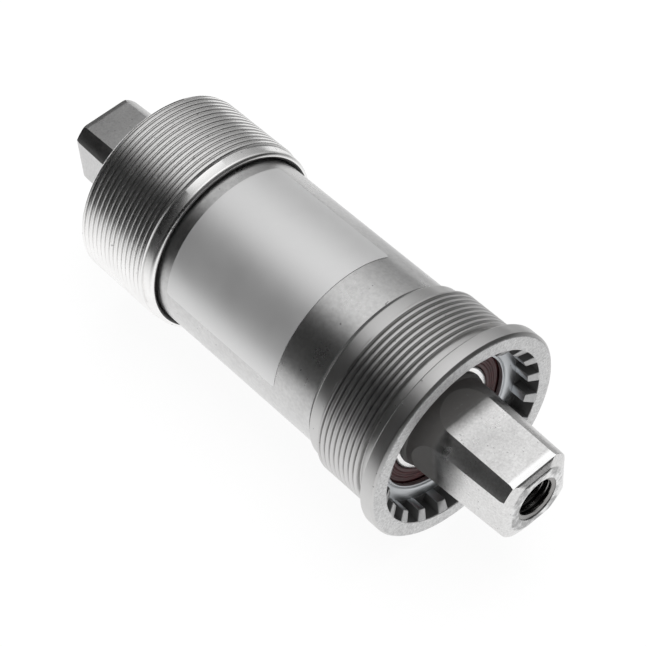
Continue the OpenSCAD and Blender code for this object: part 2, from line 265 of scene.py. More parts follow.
class Maker:
    """Builds a geometry-node tree whose inputs are named sizes, and runs it. Sockets and
    plain numbers mix in add() and calc()."""

    def __init__(self, name, inputs):
        self.tree = bpy.data.node_groups.new(name, "GeometryNodeTree")
        self.ids = {}
        kinds = {float: "NodeSocketFloat", int: "NodeSocketInt"}
        for label, value in inputs.items():
            kind = kinds.get(type(value), "NodeSocketMaterial" if value is None else "")
            if value == "Geometry":
                kind = "NodeSocketGeometry"
            socket = self.tree.interface.new_socket(label, in_out="INPUT", socket_type=kind)
            self.ids[label] = socket.identifier
        self.tree.interface.new_socket(
            "Geometry", in_out="OUTPUT", socket_type="NodeSocketGeometry"
        )
        self.start = self.tree.nodes.new("NodeGroupInput").outputs
        self.end = self.tree.nodes.new("NodeGroupOutput")

    def add(self, kind, inputs=None, **settings):
        node = self.tree.nodes.new(kind)
        for key, value in settings.items():
            setattr(node, key, value)
        for key, value in (inputs or {}).items():
            if isinstance(value, bpy.types.NodeSocket):
                self.tree.links.new(value, node.inputs[key])
            else:
                node.inputs[key].default_value = value
        return node

    def calc(self, operation, *values):
        return self.add("ShaderNodeMath", dict(enumerate(values)), operation=operation).outputs[0]

    def clamped(self, value, low, high):
        return self.calc("MINIMUM", self.calc("MAXIMUM", value, low), high)

    def close(self, geometry):
        """Ends the tree in real geometry with its material."""
        solid = self.add("GeometryNodeRealizeInstances", {0: geometry}).outputs[0]
        dressed = self.add(
            "GeometryNodeSetMaterial", {0: solid, "Material": self.start["Material"]}
        )
        self.tree.links.new(dressed.outputs[0], self.end.inputs[0])

    def run(self, values, mesh=None):
        """Evaluates the tree with the given inputs and returns the result as a bmesh."""
        mesh = mesh or bpy.data.meshes.new("blank")
        holder = bpy.data.objects.new("blank", mesh)
        bpy.context.scene.collection.objects.link(holder)
        modifier = holder.modifiers.new("make", "NODES")
        modifier.node_group = self.tree
        for label, value in values.items():
            modifier[self.ids[label]] = value
        bpy.context.view_layer.update()
        graph = bpy.context.evaluated_depsgraph_get()
        made = bpy.data.meshes.new_from_object(holder.evaluated_get(graph))
        form = bmesh.new()
        form.from_mesh(made)
        bpy.data.objects.remove(holder)
        bpy.data.meshes.remove(made)
        return form


def thread_cutter():
    """One skin of screw thread: a grid wrapped on a helix, with flat crests, hollow flanks
    and both ends run out to a plain radius."""
    m = Maker(
        "screw_thread",
        {
            "Crest Radius": 0.0, "Root Radius": 0.0, "Pitch": 0.0, "Hand": 0.0,
            "Crest Station": 0.0, "Start": 0.0, "End": 0.0, "Start Radius": 0.0,
            "End Radius": 0.0, "Start Run-out": 0.0, "End Run-out": 0.0,
            "Turns": 0, "Steps": 0, "Sides": 0, "Material": None,
        },
    )
    s = m.start
    columns = m.calc("ADD", s["Sides"], 1.0)
    rows = m.calc("ADD", m.calc("MULTIPLY", s["Turns"], s["Steps"]), 1.0)
    grid = m.add(
        "GeometryNodeMeshGrid",
        {"Size X": 1.0, "Size Y": 1.0, "Vertices X": columns, "Vertices Y": rows},
    )
    at = m.add("ShaderNodeSeparateXYZ", {0: m.add("GeometryNodeInputPosition").outputs[0]})
    around = m.calc("ADD", at.outputs[0], 0.5)
    along = m.calc("ADD", at.outputs[1], 0.5)
    lead = m.calc("MULTIPLY", m.calc("MULTIPLY", s["Hand"], s["Pitch"]), around)
    turn = m.calc("SUBTRACT", m.calc("MULTIPLY", along, s["Turns"]), 1.0)
    free = m.calc("ADD", m.calc("ADD", s["Start"], m.calc("MULTIPLY", turn, s["Pitch"])), lead)
    station = m.clamped(free, s["Start"], s["End"])
    offset = m.calc("SUBTRACT", m.calc("SUBTRACT", station, s["Crest Station"]), lead)
    phase = m.calc("FRACT", m.calc("ADD", m.calc("DIVIDE", offset, s["Pitch"]), 100.5))
    from_crest = m.calc("MULTIPLY", m.calc("ABSOLUTE", m.calc("SUBTRACT", phase, 0.5)), 2.0)
    down = m.add("ShaderNodeMapRange", {0: from_crest, 1: CREST_SHARE, 2: 1.0}).outputs[0]
    flank = m.calc("SUBTRACT", 1.0, m.calc("POWER", down, FLANK_CURVE))
    depth = m.calc("SUBTRACT", s["Crest Radius"], s["Root Radius"])
    cut = m.calc("ADD", s["Root Radius"], m.calc("MULTIPLY", depth, flank))

    def run_out(radius, end_radius, distance, length):
        share = m.clamped(m.calc("DIVIDE", distance, length), 0.0, 1.0)
        step = m.calc("MULTIPLY", m.calc("SUBTRACT", radius, end_radius), share)
        return m.calc("ADD", end_radius, step)

    past_start = m.calc("SUBTRACT", station, s["Start"])
    to_end = m.calc("SUBTRACT", s["End"], station)
    radius = run_out(cut, s["Start Radius"], past_start, s["Start Run-out"])
    radius = run_out(radius, s["End Radius"], to_end, s["End Run-out"])
    angle = m.calc("MULTIPLY", around, 2 * math.pi)
    wrapped = m.add(
        "ShaderNodeCombineXYZ",
        {
            0: m.calc("MULTIPLY", radius, m.calc("SINE", angle)),
            1: station,
            2: m.calc("MULTIPLY", radius, m.calc("COSINE", angle)),
        },
    )
    placed = m.add(
        "GeometryNodeSetPosition", {"Geometry": grid.outputs[0], "Position": wrapped.outputs[0]}
    )
    welded = m.add(
        "GeometryNodeMergeByDistance", {"Geometry": placed.outputs[0], "Distance": 1e-6}
    )
    m.close(welded.outputs[0])
    return m


def ring_maker():
    """Copies of the given shape at equal angles round the spindle axis."""
    m = Maker(
        "copies_round_the_axis",
        {"Geometry": "Geometry", "Count": 0, "First Angle": 0.0, "Material": None},
    )
    points = m.add("GeometryNodePoints", {"Count": m.start["Count"]})
    step = m.calc("DIVIDE", 2 * math.pi, m.start["Count"])
    index = m.add("GeometryNodeInputIndex").outputs[0]
    angle = m.calc("ADD", m.start["First Angle"], m.calc("MULTIPLY", step, index))
    turn = m.add("ShaderNodeCombineXYZ", {1: angle})
    copies = m.add(
        "GeometryNodeInstanceOnPoints",
        {
            "Points": points.outputs[0],
            "Instance": m.start["Geometry"],
            "Rotation": turn.outputs[0],
        },
    )
    m.close(copies.outputs[0])
    return m


THREAD = thread_cutter()
RING = ring_maker()


def joined(*forms):
    """One bmesh out of several."""
    whole = bmesh.new()
    for form in forms:
        part = bpy.data.meshes.new("part")
        form.to_mesh(part)
        form.free()
        whole.from_mesh(part)
        bpy.data.meshes.remove(part)
    return whole


def thread(
    crest, root, hand, crest_at, ends, end_radii, run_outs,
    steps=THREAD_STEPS, pitch=PITCH, sides=SIDES,
):
    """A skin of thread between two stations, which runs out to a radius at each. crest_at is
    the station of one crest at STATED_SIDE, a share of a turn round the axis."""
    return THREAD.run(
        {
            "Crest Radius": crest * MM,
            "Root Radius": root * MM,
            "Pitch": pitch * MM,
            "Hand": float(hand),
            "Crest Station": (crest_at - hand * pitch * STATED_SIDE) * MM,
            "Start": ends[0] * MM,
            "End": ends[1] * MM,
            "Start Radius": end_radii[0] * MM,
            "End Radius": end_radii[1] * MM,
            "Start Run-out": run_outs[0] * MM,
            "End Run-out": run_outs[1] * MM,
            "Turns": math.ceil((ends[1] - ends[0]) / pitch) + 2,
            "Steps": steps,
            "Sides": sides,
        }
    )


# The tool socket in a cup's mouth. A tooth's tip and root are each (radius, half its width,
# how far its end lies below the cup's face).
TEETH = 20
FIRST_TOOTH = 12.5
TOOTH_TIP = (14.5, 0.8, 1.0)
TOOTH_ROOT = (16.27, 1.1, 0.02)
TOOTH_ROUND = 0.12
SOCKET_RIM_R = 16.2
SOCKET_R = 16.1
FLOOR_R = 14.5
HOLLOW = (1.9, 0.45)
HOLLOW_STEPS = 8
SHOULDER_R = 12.2


def socket_teeth(face, inward, floor):
    """The ring of broached teeth: each a small wedge, sunk in the wall, whose end slants down
    from the cup's face to a lead-in at its tip."""
    wedge = bmesh.new()
    for radius, half, depth in (TOOTH_TIP, TOOTH_ROOT):
        for across in (-half, half):
            for station in (face + inward * depth, face + inward * (floor + 0.06)):
                wedge.verts.new(Vector((across, station, radius)) * MM)
    bmesh.ops.convex_hull(wedge, input=wedge.verts)
    bmesh.ops.dissolve_limit(wedge, angle_limit=0.02, verts=wedge.verts, edges=wedge.edges)
    bmesh.ops.bevel(
        wedge, geom=wedge.edges[:], offset=TOOTH_ROUND * MM, segments=3, profile=0.5,
        affect="EDGES",
    )
    mesh = bpy.data.meshes.new("tooth")
    wedge.to_mesh(mesh)
    wedge.free()
    return RING.run({"Count": TEETH, "First Angle": math.radians(FIRST_TOOTH)}, mesh)


def mouth(face, inward, floor):
    """Outline of a tool socket, from the cup's face down to the hole in the shoulder. The
    floor sweeps up towards the teeth in a hollow curve."""
    outline = [(SOCKET_RIM_R, 0.0), (SOCKET_R, 0.1), (SOCKET_R, floor), (FLOOR_R, floor)]
    wide, deep = HOLLOW
    for k in range(1, HOLLOW_STEPS + 1):
        turn = math.radians(90 * k / HOLLOW_STEPS)
        rise = floor + deep * (1 - math.cos(turn))
        outline.append((FLOOR_R - wide * math.sin(turn), rise))
    outline += [(12.35, floor + 0.4), (SHOULDER_R, floor + 0.5), (SHOULDER_R, floor + 1.3)]
    return [(radius, face + inward * depth) for radius, depth in outline]


# Where the finishes of a cup begin and end, in metres: radii of the socket's wall, of the
# notches between the teeth and of the thread, and depths below the face.
SOCKET_LIMIT = 0.01645
NOTCH_RADII = (0.01452, 0.0147)
ROOT_RADII = (0.0169, 0.01726)
THREAD_MIDDLE = 0.01708
THREAD_REACH = 0.00032
FACE_DEPTHS = (0.0001, 0.0002)
LEAD_IN_SLANT = 0.6
LEAD_IN_DEPTHS = (0.00975, 0.0099)


def plated_cup(name, tone, shine, face_station, inward, cut, root_shade_share):
    """Turned and plated steel: fine tool lines on the turned sides, a sand-blasted end face, a
    smooth
    socket, small dings, and painted shade: dull notches painted near-black, darker sunk tooth
    ends and patchy dark thread roots. The thread lies between the two depths in cut, which like
    face_station are millimetres."""
    f = Finish(name)
    xyz = f.add("ShaderNodeSeparateXYZ", {0: f.place})
    across = f.calc("MULTIPLY", xyz.outputs[0], xyz.outputs[0])
    up = f.calc("MULTIPLY", xyz.outputs[2], xyz.outputs[2])
    radius = f.calc("SQRT", f.calc("ADD", across, up))
    past_face = f.calc("SUBTRACT", xyz.outputs[1], face_station * MM)
    depth = f.calc("MULTIPLY", past_face, float(inward))
    lines = f.noise(f.stretched((30, 6500, 30)), 1.0, 2.0)
    cloud = f.noise(f.place, 210.0, 4.0)
    grain = f.noise(f.place, 3600.0, 3.0)
    mottle = f.noise(f.place, 2600.0, 3.0, 0.7)
    inside = f.calc("LESS_THAN", radius, SOCKET_LIMIT)
    face = f.span(depth, *FACE_DEPTHS, 1.0, 0.0)
    socket = f.calc("MULTIPLY", inside, f.calc("SUBTRACT", 1.0, face))
    slanted = f.calc("ADD", depth, f.calc("MULTIPLY", radius, LEAD_IN_SLANT))
    lead_in = f.span(slanted, *LEAD_IN_DEPTHS, 1.0, 0.0)
    # Painted shade: the notches between the teeth are painted near-black and made dull.
    notch_shade = f.calc("MULTIPLY", f.span(radius, *NOTCH_RADII, 0.0, 1.0), socket)
    notch_shade = f.calc("MULTIPLY", notch_shade, f.calc("SUBTRACT", 1.0, lead_in))
    # Painted shade in the thread roots, patchy, and stronger on the left cup.
    root = f.span(radius, *ROOT_RADII, 1.0, 0.0, True)
    from_thread = f.calc("ABSOLUTE", f.calc("SUBTRACT", radius, THREAD_MIDDLE))
    threaded = f.calc("LESS_THAN", from_thread, THREAD_REACH)
    past_start = f.calc("GREATER_THAN", depth, cut[0] * MM)
    before_end = f.calc("LESS_THAN", depth, cut[1] * MM)
    threaded = f.calc("MULTIPLY", threaded, f.calc("MULTIPLY", past_start, before_end))
    patchy = f.span(cloud, 0.3, 0.7, root_shade_share * 0.75, root_shade_share)
    root_shade = f.calc("MULTIPLY", f.calc("MULTIPLY", root, threaded), patchy)
    pit = f.span(f.noise(f.place, 1800.0, 0.0), 0.825, 0.855, 0.0, 1.0)
    plated = (grey(tone * 0.95, 0.006), grey(tone * 1.03, 0.006))
    blasted = (grey(tone * 0.8), grey(min(1.0, tone * 1.25)))
    base = f.tint(f.span(cloud, 0.3, 0.7, 0.0, 1.0), *plated)
    speckle = f.tint(f.span(mottle, 0.3, 0.7, 0.0, 1.0), *blasted)
    # Painted shade: the sunk ends of the teeth are painted a darker mottled grey.
    tooth_end_shade = f.tint(mottle, grey(tone * 0.45), grey(tone * 0.85))
    base = f.tint(socket, base, grey(tone * 0.88, -0.03))
    base = f.tint(f.calc("MULTIPLY", lead_in, inside), base, tooth_end_shade)
    base = f.tint(face, base, speckle)
    base = f.tint(root_shade, base, grey(tone * 0.3))
    base = f.tint(notch_shade, base, f.tint(cloud, grey(0.05), grey(0.11)))
    base = f.tint(f.calc("MULTIPLY", pit, 0.6), base, grey(tone * 0.35))
    rough = f.span(cloud, 0.3, 0.7, shine, shine + 0.07)
    rough = f.calc("ADD", rough, f.calc("MULTIPLY", face, 0.2))
    rough = f.calc("MAXIMUM", rough, f.calc("MULTIPLY", notch_shade, 0.5))
    metal = f.calc("SUBTRACT", 1.0, f.calc("MULTIPLY", notch_shade, 0.75))
    relief = f.bump(lines, 0.000014, 0.3)
    relief = f.bump(grain, 0.000012, 0.2, relief)
    relief = f.bump(pit, 0.00004, 0.6, relief)
    return f.set(Base_Color=base, Metallic=metal, Roughness=rough, Normal=relief)


FLANGE_FACE = -36.8
FLANGE_BACK = -34.0
FLANGE_R = 19.05
NECK_R = 16.65
SLEEVE_R = 16.5
CUP_BORE = 15.76
DRIVE_THREAD = (-31.78, -22.3)
DRIVE_FLOOR = 3.7
DRIVE_CUP_STEEL = plated_cup(
    "drive_cup_plated_steel", tone=0.65, shine=0.30, face_station=FLANGE_FACE, inward=1,
    cut=(5.1, 14.3), root_shade_share=0.45,
)
drive_outline = [
    (SLEEVE_R, DRIVE_THREAD[1]), (SLEEVE_R, -20.0), (15.85, -19.2), (CUP_BORE, -19.2),
    (CUP_BORE, -31.8),
    *reversed(mouth(FLANGE_FACE, 1, DRIVE_FLOOR)),
    (18.55, FLANGE_FACE), (FLANGE_R, FLANGE_FACE + 0.5), (FLANGE_R, -34.15),
    (18.9, FLANGE_BACK), (17.3, FLANGE_BACK), (16.85, -33.85), (NECK_R, -33.45),
    (NECK_R, DRIVE_THREAD[0]),
]
drive_thread = thread(
    THREAD_CREST, THREAD_ROOT, hand=-1, crest_at=-22.8, ends=DRIVE_THREAD,
    end_radii=(NECK_R, SLEEVE_R), run_outs=(0.3, 0.35),
)
piece(
    "drive_cup",
    joined(
        turned(eased(drive_outline, 0.12, closed=False), closed=False),
        drive_thread,
        socket_teeth(FLANGE_FACE, 1, DRIVE_FLOOR),
    ),
    DRIVE_CUP_STEEL,
    "cartridge",
    ["drive_side_cup"],
)


# Bearing spacer: a black moulded sleeve that keeps the outer races of the two bearings apart.
# It is closed in by the tube, and stays the plain sleeve that the CAD made.
def moulded(name, colour, gloss, scale):
    """Moulded plastic: faint flow marks and a fine matt grain."""
    f = Finish(name)
    flow = f.noise(f.stretched((1, 0.25, 1)), 240.0, 3.0)
    grain = f.noise(f.place, scale, 2.0)
    pale = tuple(min(1.0, c * 1.35 + 0.004) for c in colour)
    base = f.tint(f.span(flow, 0.3, 0.7, 0.0, 1.0), colour, pale)
    rough = f.span(flow, 0.3, 0.7, gloss, gloss + 0.1)
    rough = f.calc("ADD", rough, f.span(grain, 0.3, 0.7, -0.04, 0.04))
    return f.set(Base_Color=base, Roughness=rough, Normal=f.bump(grain, 0.00002, 0.35))


SPACER_PLASTIC = moulded(
    "spacer_black_plastic", colour=(0.012, 0.012, 0.013), gloss=0.42, scale=4200.0
)


def dress(node, material):
    """Gives a CAD node that stays as it is its material."""
    mesh = frame["nodes"][node].data
    mesh.materials.clear()
    mesh.materials.append(material)


dress("bearing_spacer", SPACER_PLASTIC)


# Bearings: a thin-section ball bearing at each end, with ground races, twelve balls in a
# moulded crown cage, and a dark red rubber seal on a steel washer at each side.
BEARING_MIDDLE = {"right": -28.3, "left": 26.0}
OUTWARD = {"right": -1, "left": 1}
BALLS = 12
BALL_R = 1.8
BALL_PITCH_R = 11.75
RUBBER_TONES = ((0.05, 0.010, 0.011), (0.09, 0.024, 0.025))


def ground_steel(name, tone, rough, rings):
    """Ground bearing steel: very fine lines left by the wheel and a trace of oil."""
    f = Finish(name)
    lines = f.noise(f.stretched((rings, 900, rings)), 1.0, 2.0)
    oil = f.noise(f.place, 300.0, 3.0)
    wet = f.span(oil, 0.35, 0.65, 0.0, 1.0)
    base = f.tint(wet, grey(tone, 0.004), grey(tone * 1.06, 0.004))
    shine = f.span(oil, 0.3, 0.7, rough, rough + 0.06)
    relief = f.bump(lines, 0.000006, 0.25)
    return f.set(Base_Color=base, Metallic=1.0, Roughness=shine, Normal=relief)


def seal_rubber():
    """Dark red nitrile rubber with a dusty bloom and a fine grain."""
    f = Finish("seal_red_rubber")
    dust = f.noise(f.place, 700.0, 4.0)
    grain = f.noise(f.place, 5200.0, 2.0)
    base = f.tint(f.span(dust, 0.35, 0.7, 0.0, 1.0), *RUBBER_TONES)
    rough = f.span(dust, 0.3, 0.7, 0.34, 0.5)
    return f.set(Base_Color=base, Roughness=rough, Normal=f.bump(grain, 0.00001, 0.3))


RACE_STEEL = ground_steel("race_ground_steel", tone=0.88, rough=0.17, rings=500)
BALL_STEEL = ground_steel("ball_polished_steel", tone=0.8, rough=0.06, rings=40)
WASHER_STEEL = ground_steel("washer_pressed_steel", tone=0.5, rough=0.3, rings=200)
CAGE_PLASTIC = moulded("cage_ivory_plastic", colour=(0.52, 0.44, 0.3), gloss=0.38, scale=3600.0)
SEAL_RUBBER = seal_rubber()
# Outlines as (radius, distance from the bearing's middle).
SEAL_OUTLINE = [
    (9.67, 2.9), (9.67, 3.15), (9.8, 3.3), (10.05, 3.4), (10.3, 3.4), (10.42, 3.2), (10.75, 3.18),
    (10.9, 3.4), (11.15, 3.4), (11.27, 3.2), (11.6, 3.18), (11.75, 3.36), (12.0, 3.38),
    (12.15, 3.2), (13.2, 3.2), (13.62, 3.2), (13.62, 2.9),
]
RACE_OUTLINE = [
    (8.5, -3.5), (9.3, -3.5), (9.57, -3.3), (9.57, -2.6), (10.47, -2.6), (10.47, -1.4),
    (10.25, -1.1), (10.02, -0.7), (9.9, -0.3), (9.87, 0.0), (9.9, 0.3), (10.02, 0.7),
    (10.25, 1.1), (10.47, 1.4), (10.47, 2.6), (9.57, 2.6), (9.57, 3.3), (9.3, 3.5), (8.5, 3.5),
]


def ball():
    """One ball, at the top of the pitch circle."""
    form = bmesh.new()
    bmesh.ops.create_uvsphere(form, u_segments=32, v_segments=20, radius=BALL_R * MM)
    bmesh.ops.translate(form, verts=form.verts, vec=(0, 0, BALL_PITCH_R * MM))
    mesh = bpy.data.meshes.new("ball")
    form.to_mesh(mesh)
    form.free()
    return mesh


for side, middle in BEARING_MIDDLE.items():
    outward = OUTWARD[side]
    race = [(radius, middle + outward * along) for radius, along in RACE_OUTLINE]
    piece(
        side + "_inner_ring", turned(eased(race, 0.15)), RACE_STEEL, "spindle",
        [side + "_inner_race"], crease=26.0,
    )
    balls = RING.run({"Count": BALLS, "First Angle": 0.0}, ball())
    bmesh.ops.translate(balls, verts=balls.verts, vec=(0, middle * MM, 0))
    piece(side + "_ball_set", balls, BALL_STEEL, side + "_cage", [side + "_balls"])
    for place, way in (("outer", outward), ("inner", -outward)):
        lip = [(radius, middle + way * along) for radius, along in SEAL_OUTLINE]
        piece(
            side + "_" + place + "_rubber_seal", turned(eased(lip, 0.1)), SEAL_RUBBER,
            "cartridge", [side + "_" + place + "_seal"],
        )
        dress(side + "_" + place + "_seal_core", WASHER_STEEL)
    dress(side + "_outer_race", RACE_STEEL)
    dress(side + "_ball_cage", CAGE_PLASTIC)


# Retaining ring: a plated steel ring pressed into the left end of the tube. It holds the left
# bearing in, flush with the tube's end, and its mouth is chamfered.
RING_R = (12.8, 15.0)
RING_ENDS = (29.5, 30.7)
ring_outline = [
    (RING_R[0], RING_ENDS[0]), (RING_R[1], RING_ENDS[0]), (RING_R[1], RING_ENDS[1]),
    (13.2, RING_ENDS[1]), (RING_R[0], 30.3),
]
piece(
    "retaining_ring", turned(eased(ring_outline, 0.12)), TUBE_STEEL, "cartridge",
    ["left_retaining_ring"],
)


# Spindle: one forged and ground steel axle. Each end is milled to a square with 2 degree flats
# that run out in the cutter's curve, and is drilled, countersunk and tapped for the crank bolt.
SPINDLE_ENDS = (-52.3, 50.7)
SPINDLE_TURN = math.radians(-4)
TIP_HALF = 6.35
FACE_HALF = 5.0
TIP_CHAMFER = 0.8
FLAT_LENGTH = 13.6
TILT = math.radians(2)
SLOPE = math.tan(TILT)
CUTTER = 8.0
NO_FLAT = 99.0
EDGE_ROUND = 0.2
DUB_DEPTH = 1.6
DUB_SLOPE = math.tan(math.radians(8))
FLAT_STEPS = 14
CORNER_STEPS = 16
BLANK_MARKS = [
    (-52.3, 5.45), (-51.4, 7.68), (-35.4, 8.2), (-32.6, 8.2), (-32.3, 8.48), (-24.83, 8.48),
    (-24.8, 9.4), (22.47, 9.4), (22.5, 8.48), (30.0, 8.48), (30.3, 8.2), (34.6, 8.2),
    (49.8, 7.68), (50.7, 5.45),
]


def flat_height(depth):
    """How far a flat lies from the axis, at a depth from the end face: a chamfer, a slightly
    dubbed tip, the tapered flat and the hollow left by the round cutter."""
    run_out = TIP_CHAMFER + FLAT_LENGTH
    if depth <= run_out:
        slanted = FACE_HALF + (TIP_HALF - FACE_HALF) * depth / TIP_CHAMFER
        dubbed = max(0.0, DUB_DEPTH - depth) * DUB_SLOPE
        flat = TIP_HALF + (depth - TIP_CHAMFER) * SLOPE - dubbed
        blend = max(0.0, EDGE_ROUND - abs(slanted - flat))
        return min(slanted, flat) - blend * blend / (4 * EDGE_ROUND)
    middle = TIP_HALF + FLAT_LENGTH * SLOPE + CUTTER * math.cos(TILT)
    along = depth - run_out + CUTTER * math.sin(TILT)
    if along >= CUTTER:
        return NO_FLAT
    return middle - math.sqrt(CUTTER**2 - along**2)


def shaft_radius(station):
    """Radius of the turned blank at a station, on straight lines between the marks."""
    for (a, radius_a), (b, radius_b) in zip(BLANK_MARKS, BLANK_MARKS[1:]):
        if a <= station <= b:
            return radius_a + (radius_b - radius_a) * (station - a) / (b - a)


def spindle_stations():
    """Stations of the rings: close together at the tips, where a flat runs out and at every
    step of the blank."""
    tip = [0, 0.05, 0.15, 0.3, 0.42] + [0.48 + 0.06 * k for k in range(12)]
    dub = [1.3, 1.45, 1.55, 1.65, 1.8, 2]
    along_flat = [2 + 12.4 * k / 16 for k in range(1, 17)]
    past_flat = [14.4 + 4.6 * k / 30 for k in range(1, 31)]
    depths = tip + dub + along_flat + past_flat
    low, high = SPINDLE_ENDS
    middle = [-32.6, -32.3, -24.83, -24.8, 22.47, 22.5, 30.0, 30.3]
    middle += [k * 5.0 for k in range(-4, 5)]
    stations = [low + d for d in depths] + middle + [high - d for d in depths]
    return sorted(set(round(s, 4) for s in stations))


def spindle_skin():
    """The outside of the spindle, with columns that follow the edges of the flats."""
    form = bmesh.new()
    narrowest = 0.12
    rings = []
    for station in spindle_stations():
        depth = min(station - SPINDLE_ENDS[0], SPINDLE_ENDS[1] - station)
        blank = shaft_radius(station)
        height = flat_height(depth)
        half = max(narrowest, math.acos(min(1.0, height / blank)))
        ring = []
        for quarter in range(4):
            normal = SPINDLE_TURN + quarter * math.pi / 2
            across = [half * (2 * k / FLAT_STEPS - 1) for k in range(FLAT_STEPS)]
            corner = math.pi / 2 - 2 * half
            across += [half + corner * k / CORNER_STEPS for k in range(CORNER_STEPS)]
            for angle in across:
                radius = blank
                if abs(angle) <= half + 1e-9:
                    radius = min(blank, height / math.cos(angle))
                turn = normal + angle
                place = (radius * math.sin(turn), station, radius * math.cos(turn))
                ring.append(form.verts.new(Vector(place) * MM))
        rings.append(ring)
    sides = len(rings[0])
    for one, two in zip(rings, rings[1:]):
        for k in range(sides):
            n = (k + 1) % sides
            form.faces.new((one[k], one[n], two[n], two[k]))
    return form


BOLT_PITCH = 1.0
BOLT_CREST = 3.32
BOLT_ROOT = 3.9
BOLT_THREAD = (0.2, 18.5)


def bolt_hole(end, inward):
    """Countersink, M8 x 1 thread and drilled bottom of a crank bolt hole."""
    def at(depth):
        return end + inward * depth

    mouth_end, thread_end = BOLT_THREAD
    sides = 4 * (FLAT_STEPS + CORNER_STEPS)
    sink = [(4.06, at(0)), (4.0, at(0.04)), (3.92, at(0.14)), (BOLT_ROOT, at(mouth_end))]
    screw = thread(
        BOLT_CREST, BOLT_ROOT, hand=1, crest_at=at(1.0),
        ends=sorted((at(mouth_end), at(thread_end))), end_radii=(BOLT_ROOT, BOLT_ROOT),
        run_outs=(0.25, 0.8) if inward > 0 else (0.8, 0.25),
        steps=10, pitch=BOLT_PITCH, sides=sides,
    )
    bottom = [
        (BOLT_ROOT, at(thread_end)), (3.4, at(19.0)), (3.35, at(20.0)), (1.7, at(21.0)),
        (0.02, at(21.75)),
    ]
    return joined(turned(sink, False, sides), screw, turned(bottom, False, sides))


def close_face(form, station, hole_rim):
    """Closes the flat end face between the outline and the rim of the bolt hole, whose
    radius is under hole_rim."""
    rim = [v for v in form.verts if v.is_boundary and abs(v.co.y - station * MM) < 1e-6]
    rim.sort(key=lambda v: math.atan2(v.co.x, v.co.z))
    inner = [v for v in rim if math.hypot(v.co.x, v.co.z) < hole_rim * MM]
    outer = [v for v in rim if math.hypot(v.co.x, v.co.z) > hole_rim * MM]
    for k in range(len(outer)):
        form.faces.new((outer[k - 1], outer[k], inner[k], inner[k - 1]))


# Where the spindle's finishes begin and end, in metres: from its middle, from the axis for
# the hole, and along Y for the right tip. Its greys follow.
MIDDLE_SHIFT = 0.0008
NECK_SPAN = (0.0358, 0.0388)
SOCKET_SPAN = (0.0385, 0.0425)
END_FACE_SPAN = (0.0513, 0.0514)
RIGHT_TIP_SPAN = (-0.05, -0.0505)
HOLE_RADII = (0.00388, 0.00396)
GROUND_TONES = (grey(0.64, 0.006), grey(0.86, 0.004))
BATTERED_TONES = (grey(0.36), grey(0.8))
LEFT_TONE = grey(0.12)
NECK_SHADE_AND_OXIDE = grey(0.095, 0.03)
HOLE_SHADE = grey(0.3, 0.02)
PIT_TONE = grey(0.15)
TIP_HIGHLIGHT = grey(0.97)


